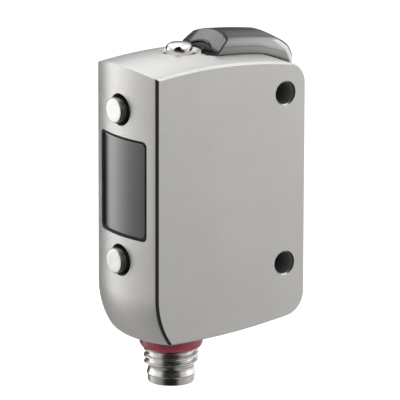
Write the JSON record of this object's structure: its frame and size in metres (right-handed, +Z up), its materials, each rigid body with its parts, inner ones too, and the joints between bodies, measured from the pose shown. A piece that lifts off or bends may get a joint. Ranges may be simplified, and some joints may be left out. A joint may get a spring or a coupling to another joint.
{
  "type": "laser photoelectric sensor",
  "caption": "Flat stainless laser distance sensor with a smoked number display, push buttons, a lamp cover on the top edge, through fixing holes and a threaded round plug connector underneath.",
  "frame": {"origin": "on the connector's axis, at the open end of its guide collar", "axes": "+Z up along the connector's axis into the case, +X towards the detection face that looks at the target, -X towards the display and its buttons, -Y towards the large face with the welded side cover"},
  "size_m": [0.0292, 0.0144, 0.0513],
  "materials": {
    "stainless_case": "fine bead-blasted stainless steel",
    "polished_stainless": "polished stainless steel",
    "turned_stainless": "bright turned stainless steel",
    "screw_steel": "bright zinc plated",
    "gilt_brass": "gold flashed",
    "black_rubber": "matte elastomer",
    "red_rubber": "satin fluoroelastomer",
    "black_plastic": "fine moulded texture",
    "white_plastic": "smooth moulded",
    "circuit_board": "green solder mask",
    "smoked_lamp_cover": "smoked translucent, glossy",
    "smoked_window": "smoked, glossy",
    "dark_window_glass": "deep red filter, glossy",
    "display_glass": "glass over a dark number display",
    "lens_glass": "clear, coated"
  },
  "bodies": {
    "case": {"housing": "stainless_case", "side_cover": "stainless_case", "front_window": "dark_window_glass", "window_seal": "black_rubber", "display_window": "smoked_window", "display_seal": "black_rubber", "display_module": "display_glass", "display_board": "circuit_board", "up_button_seal": "black_rubber", "down_button_seal": "black_rubber", "set_button_seal": "black_rubber", "up_switch": "black_plastic", "down_switch": "black_plastic", "set_switch": "black_plastic", "indicator_lens": "smoked_lamp_cover", "indicator_seal": "black_rubber", "indicator_board": "circuit_board", "indicator_leds": "white_plastic", "connector_shell": "turned_stainless", "connector_insert": "black_plastic", "contact_pin_1": "gilt_brass", "contact_pin_2": "gilt_brass", "contact_pin_3": "gilt_brass", "contact_pin_4": "gilt_brass", "connector_seal": "red_rubber", "connector_board": "circuit_board", "optics_block": "black_plastic", "laser_diode": "gilt_brass", "collimator_lens": "lens_glass", "receiver_lens": "lens_glass", "image_sensor": "black_plastic", "sensor_board": "circuit_board", "main_board": "circuit_board", "board_screws": "screw_steel"},
    "up_key": {"up_button": "polished_stainless", "up_plunger": "white_plastic"},
    "down_key": {"down_button": "polished_stainless", "down_plunger": "white_plastic"},
    "set_key": {"set_button": "polished_stainless", "set_plunger": "white_plastic"}
  },
  "joints": [
    {"name": "up_button_press", "type": "slide", "parent": "case", "child": "up_key", "axis": [1, 0, 0], "range_m": [0, 0.0003], "stiffness_N_per_m": 400, "springref_m": -0.002},
    {"name": "down_button_press", "type": "slide", "parent": "case", "child": "down_key", "axis": [1, 0, 0], "range_m": [0, 0.0003], "stiffness_N_per_m": 400, "springref_m": -0.002},
    {"name": "set_button_press", "type": "slide", "parent": "case", "child": "set_key", "axis": [0, 0, -1], "range_m": [0, 0.0003], "stiffness_N_per_m": 400, "springref_m": -0.002}
  ]
}
